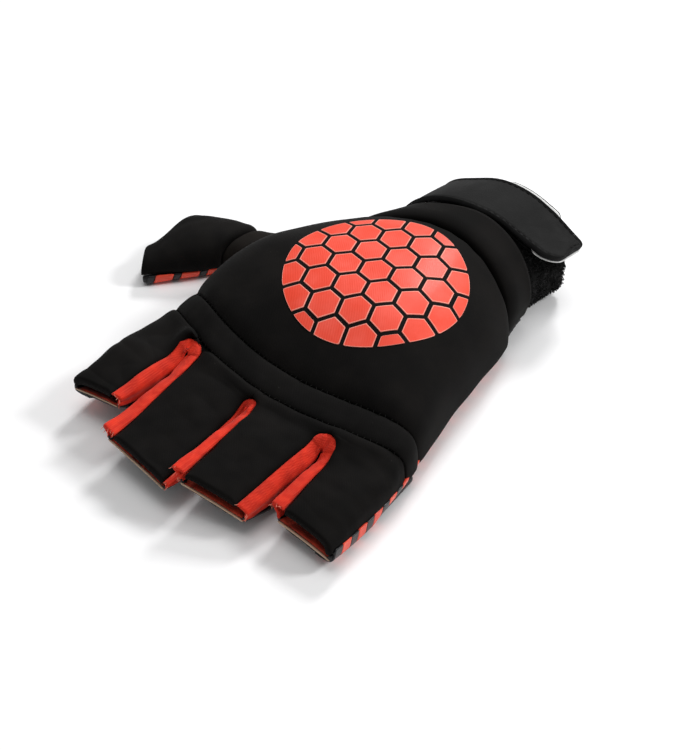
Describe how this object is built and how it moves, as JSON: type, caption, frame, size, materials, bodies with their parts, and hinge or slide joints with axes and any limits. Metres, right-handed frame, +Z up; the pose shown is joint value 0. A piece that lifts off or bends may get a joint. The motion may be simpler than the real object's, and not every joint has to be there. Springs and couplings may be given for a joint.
{
  "type": "field hockey glove",
  "caption": "Padded field hockey glove for the left hand with open fingertips, elastic slit gussets, a striped grip palm and a wrist strap.",
  "frame": {"origin": "on the table under the middle of the palm, in the plane that the glove rests on", "axes": "+Y from the wrist to the fingertips, +X to the thumb, +Z up out of the back of the hand"},
  "size_m": [0.1708, 0.1942, 0.0409],
  "materials": {
    "back_pad": "smooth black knit over foam",
    "knuckle_band": "thin black knit over foam",
    "finger_pads": "smooth black knit over foam",
    "cuff_collar": "smooth black knit over foam",
    "cuff": "black loop pile",
    "gusset_index_middle": "orange-red stretch knit",
    "gusset_middle_ring": "orange-red stretch knit",
    "gusset_ring_little": "orange-red stretch knit",
    "thumb_web": "thin dark stretch knit",
    "thumb_pad": "smooth black knit over foam",
    "palm": "black synthetic leather with raised glossy black and orange bars",
    "strap_base": "pale hook-and-loop tape",
    "strap_label": "dark grey matt moulded rubber"
  },
  "bodies": {
    "root": {"back_pad": "back_pad", "knuckle_band": "knuckle_band", "finger_pads": "finger_pads", "cuff_collar": "cuff_collar", "cuff": "cuff", "gusset_index_middle": "gusset_index_middle", "gusset_middle_ring": "gusset_middle_ring", "gusset_ring_little": "gusset_ring_little", "thumb_web": "thumb_web", "thumb_pad": "thumb_pad", "palm": "palm", "strap_base": "strap_base", "strap_label": "strap_label"}
  },
  "joints": []
}
